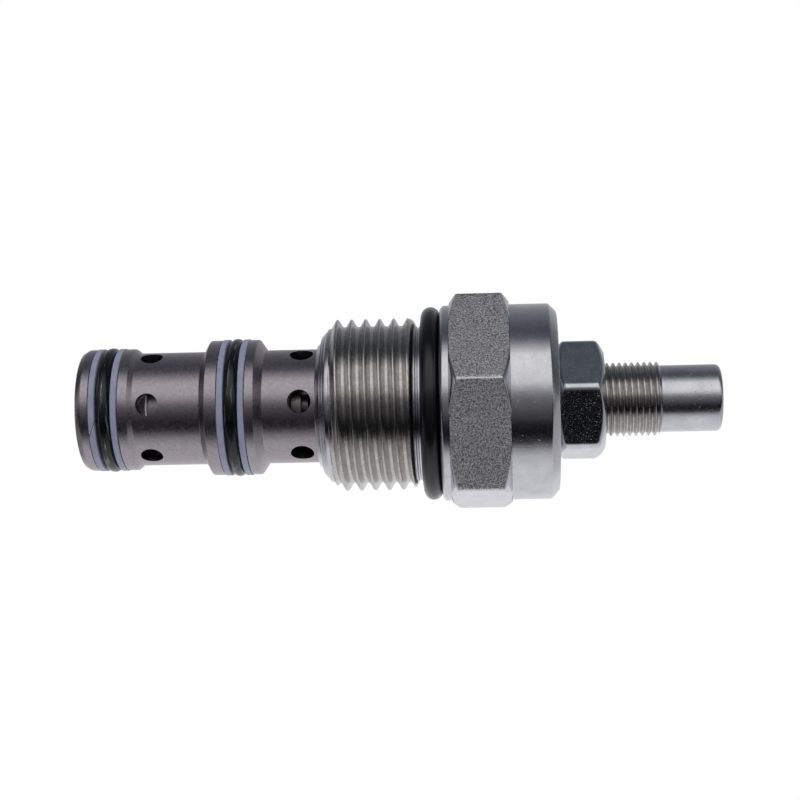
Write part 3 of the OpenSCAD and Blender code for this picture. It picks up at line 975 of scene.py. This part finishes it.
class VALVE_OT_backups(bpy.types.Operator):
    """Builds the split backup rings beside the land seals"""

    bl_idname = "valve.backups"
    bl_label = "Backup rings"

    def execute(self, context):
        plastic = backup_plastic(context.scene.valve_colours)
        plan = (
            ("nose_land_outer_backup", "lower_backup_ring_nose", NOSE_BACKUP_R, 288, 1),
            ("nose_land_inner_backup", "lower_backup_ring_body", NOSE_BACKUP_R, 75, 2),
            ("middle_land_outer_backup", "upper_backup_ring_nose", MIDDLE_BACKUP_R, 120, 3),
            ("middle_land_inner_backup", "upper_backup_ring_body", MIDDLE_BACKUP_R, 30, 4),
        )
        for name, node, inner_r, cut_deg, seed in plan:
            piece = backup_piece(name, node, inner_r, cut_deg, seed)
            add_piece(piece, BODY, node, "backup_plastic", plastic)
        set_materials(frame["nodes"]["adjuster_backup_ring"], plastic)
        return {"FINISHED"}


# Spring: its turns, and the radii of its wire and of the coil's middle


SPRING_TURNS = 7
SPRING_WIRE_R = 0.8
SPRING_MEAN_R = 3.85
# Rise of the closed turn at each end
CLOSED_TURN = 2.06 * SPRING_WIRE_R


def spring_height(turns, low, high):
    """Height of the wire's middle after this many turns from the lower end."""
    ground = SPRING_WIRE_R / 2
    climb = (high - low - 2 * ground - 2 * CLOSED_TURN) / (SPRING_TURNS - 2)
    ends = min(turns, 1) + max(turns - SPRING_TURNS + 1, 0)
    middle = min(max(turns - 1, 0), SPRING_TURNS - 2)
    return low + ground + ends * CLOSED_TURN + middle * climb


def spring_piece(name, first, last, low, high, steps=40, sides=14):
    """A run of the spring's wire, ground flat where it passes the end of the spring."""
    rings = []
    for i in range(round((last - first) * steps) + 1):
        turns = first + i / steps
        height = spring_height(turns, low, high)
        ring = []
        for t in even_angles(sides)[:-1]:
            z = min(max(height + SPRING_WIRE_R * math.sin(t), low), high)
            ring.append((SPRING_MEAN_R + SPRING_WIRE_R * math.cos(t), FULL_TURN * turns, z))
        rings.append(ring)
    return strip_piece(name, rings)


class VALVE_OT_spring(bpy.types.Operator):
    """Builds the control spring in two halves"""

    bl_idname = "valve.spring"
    bl_label = "Control spring"

    def execute(self, context):
        wire = inner_steel("spring_wire", (0.20, 0.20, 0.21), 0.35)
        low, high = z_range("control_spring")
        half = SPRING_TURNS / 2
        plan = (
            ("spring_lower_coils", 0, half, "spool_group", low + CLOSED_TURN),
            ("spring_upper_coils", half, SPRING_TURNS, "preload_group", high - CLOSED_TURN),
        )
        for name, first, last, moving, starts in plan:
            piece = spring_piece(name, first, last, low, high)
            set_materials(piece, wire)
            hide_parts("control_spring")
            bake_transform(piece)
        return {"FINISHED"}


class VALVE_OT_steel(bpy.types.Operator):
    """Finishes the pieces inside the cage"""

    bl_idname = "valve.steel"
    bl_label = "Inner pieces"

    def execute(self, context):
        nodes = frame["nodes"]
        plan = (
            (("spool",), "ground_steel", (0.5, 0.47, 0.5), 0.42),
            (("lower_spring_seat", "upper_spring_seat"), "seat_steel", (0.36, 0.35, 0.34), 0.32),
            (("spool_stop_ring",), "ring_wire", (0.20, 0.20, 0.21), 0.35),
            (("thrust_ball",), "polished_ball", (0.62, 0.62, 0.63), 0.08),
        )
        for names, material_name, shade, roughness in plan:
            material = inner_steel(material_name, shade, roughness)
            for name in names:
                set_materials(nodes[name], material)
        nylon = Shader("seal_nylon", (0.72, 0.70, 0.62), metallic=0.0, roughness=0.5)
        nylon.tint(nylon.noise(1.0, detail=4.0), 0.92, 1.04)
        nylon.bump(nylon.noise(4.0, detail=2.0), 0.006)
        set_materials(nodes["lock_nut_seal"], nylon.material)
        return {"FINISHED"}


# Studio: lengths in millimetres and angles in degrees


CAMERA_AIM = Vector((0.0, 0.0, -5.45))
CAMERA_DISTANCE = 223.0
CAMERA_RISE = 0.53
CAMERA_LEAN = 3.2
CAMERA_ROLL = 1.21
LENS = 77.36


def place_camera():
    """A long lens looks at the valve from the side, with the nose a little further away."""
    base = Matrix(((0, -1, 0), (0, 0, -1), (1, 0, 0)))
    tilt = Euler((0, -math.radians(CAMERA_LEAN), 0)).to_matrix()
    roll = Euler((0, 0, math.radians(CAMERA_ROLL))).to_matrix()
    turned = base @ (roll @ tilt).transposed()
    place = CAMERA_AIM + turned @ Vector((0, CAMERA_RISE, CAMERA_DISTANCE))
    data = bpy.data.cameras.new("studio_camera")
    data.lens = LENS
    data.clip_start = 0.01
    camera = bpy.data.objects.new("studio_camera", data)
    camera.matrix_world = Matrix.Translation(place * MM) @ turned.to_4x4()
    bpy.context.scene.collection.objects.link(camera)
    bpy.context.scene.camera = camera


# Bearing round the valve's axis, from the camera towards the top, and the brightness seen there
STUDIO_PANELS = (
    (-180, (0.86, 0.86, 0.87)), (-84, (0.80, 0.80, 0.81)), (-68, (0.66, 0.66, 0.67)),
    (-58, (0.42, 0.42, 0.43)), (-49, (0.03, 0.03, 0.032)), (-38, (0.0, 0.0, 0.0)),
    (-26, (0.015, 0.015, 0.018)), (-13, (0.08, 0.08, 0.088)), (4, (0.17, 0.17, 0.18)),
    (12, (0.30, 0.30, 0.31)), (20, (0.78, 0.78, 0.78)), (30, (0.95, 0.95, 0.94)),
    (56, (0.98, 0.98, 0.96)), (66, (0.5, 0.5, 0.5)), (78, (0.11, 0.12, 0.135)),
    (94, (0.075, 0.085, 0.105)), (112, (0.16, 0.17, 0.19)), (134, (0.25, 0.26, 0.28)),
    (180, (0.6, 0.6, 0.62)),
)
# Height of a direction on the valve's axis, and the share of the brightness left there
STUDIO_ENDS = ((-1, 0.35), (-0.75, 0.45), (-0.45, 1.0), (0.5, 1.0), (0.75, 0.75), (1, 0.5))


def light_studio():
    """A surround whose brightness changes round the valve's axis, and a white backdrop."""
    world = bpy.data.worlds.new("studio_surround")
    bpy.context.scene.world = world
    world.use_nodes = True
    tree = world.node_tree
    tree.nodes.clear()

    def node(kind, **settings):
        made = tree.nodes.new(kind)
        for key, value in settings.items():
            setattr(made, key, value)
        return made

    place = node("ShaderNodeTexCoord")
    parts = node("ShaderNodeSeparateXYZ")
    tree.links.new(place.outputs["Generated"], parts.inputs[0])
    flipped = [node("ShaderNodeMath", operation="MULTIPLY") for _ in range(2)]
    for made, source in zip(flipped, ("X", "Y")):
        made.inputs[1].default_value = -1.0
        tree.links.new(parts.outputs[source], made.inputs[0])
    bearing = node("ShaderNodeMath", operation="ARCTAN2")
    tree.links.new(flipped[0].outputs[0], bearing.inputs[0])
    tree.links.new(flipped[1].outputs[0], bearing.inputs[1])
    share = node("ShaderNodeMath", operation="MULTIPLY_ADD")
    share.inputs[1].default_value = 1 / FULL_TURN
    share.inputs[2].default_value = 0.5
    tree.links.new(bearing.outputs[0], share.inputs[0])
    ramp = node("ShaderNodeValToRGB")
    set_stops(ramp, [(degrees / 360 + 0.5, value) for degrees, value in STUDIO_PANELS])
    tree.links.new(share.outputs[0], ramp.inputs[0])
    surround, backdrop = node("ShaderNodeBackground"), node("ShaderNodeBackground")
    tree.links.new(ramp.outputs["Color"], surround.inputs["Color"])
    backdrop.inputs["Color"].default_value = (1, 1, 1, 1)
    height = node("ShaderNodeMath", operation="MULTIPLY_ADD")
    height.inputs[1].default_value = 0.5
    height.inputs[2].default_value = 0.5
    tree.links.new(parts.outputs["Z"], height.inputs[0])
    ends = node("ShaderNodeValToRGB")
    set_stops(ends, [(level / 2 + 0.5, value) for level, value in STUDIO_ENDS])
    tree.links.new(height.outputs[0], ends.inputs[0])
    tree.links.new(ends.outputs["Color"], surround.inputs["Strength"])
    rays, mix = node("ShaderNodeLightPath"), node("ShaderNodeMixShader")
    out = node("ShaderNodeOutputWorld")
    tree.links.new(rays.outputs["Is Camera Ray"], mix.inputs[0])
    tree.links.new(surround.outputs[0], mix.inputs[1])
    tree.links.new(backdrop.outputs[0], mix.inputs[2])
    tree.links.new(mix.outputs[0], out.inputs["Surface"])


def lay_floor(below=30, radius=8, thickness=1):
    """A small pale round floor, low enough to leave the nose in sight from below."""
    top = CAD_BOX[0][2] / MM - below
    bottom = top - thickness
    rows = [(0.0, top), (radius, top), (radius, bottom), (0.0, bottom)]
    floor = turned_piece("studio_floor", rows, even_angles(96))
    paper = Shader("studio_paper", (0.9, 0.9, 0.9), metallic=0.0, roughness=0.9)
    paper.bsdf.inputs["Emission Color"].default_value = (1, 1, 1, 1)
    paper.bsdf.inputs["Emission Strength"].default_value = 0.9
    paper.bump(paper.noise(0.8, detail=3.0), 0.01)
    set_materials(floor, paper.material)


class VALVE_OT_studio(bpy.types.Operator):
    """Sets up the camera, the lights and the floor"""

    bl_idname = "valve.studio"
    bl_label = "Studio"

    def execute(self, context):
        context.scene.view_settings.view_transform = "Standard"
        place_camera()
        light_studio()
        lay_floor()
        return {"FINISHED"}


STEPS = ("studio", "body", "cage", "screw", "nut", "seals", "backups", "spring", "steel")


class VALVE_PT_panel(bpy.types.Panel):
    """Lists the valve's settings and building steps"""

    bl_idname = "VALVE_PT_panel"
    bl_label = "Cartridge valve"
    bl_space_type = "VIEW_3D"
    bl_region_type = "UI"
    bl_category = "Valve"

    def draw(self, context):
        layout = self.layout
        for group in (context.scene.valve_sizes, context.scene.valve_colours):
            box = layout.box()
            for name in type(group).__annotations__:
                box.prop(group, name)
        for step in STEPS:
            layout.operator("valve." + step)


CLASSES = (
    ValveSizes, ValveColours, VALVE_OT_studio, VALVE_OT_body, VALVE_OT_cage, VALVE_OT_screw,
    VALVE_OT_nut, VALVE_OT_seals, VALVE_OT_backups, VALVE_OT_spring, VALVE_OT_steel,
    VALVE_PT_panel,
)


def register():
    for cls in CLASSES:
        bpy.utils.register_class(cls)
    bpy.types.Scene.valve_sizes = PointerProperty(type=ValveSizes)
    bpy.types.Scene.valve_colours = PointerProperty(type=ValveColours)


def unregister():
    del bpy.types.Scene.valve_colours
    del bpy.types.Scene.valve_sizes
    for cls in reversed(CLASSES):
        bpy.utils.unregister_class(cls)


def main():
    """Builds everything in order."""
    register()
    for step in STEPS:
        getattr(bpy.ops.valve, step)()


if __name__ == "__main__":
    main()
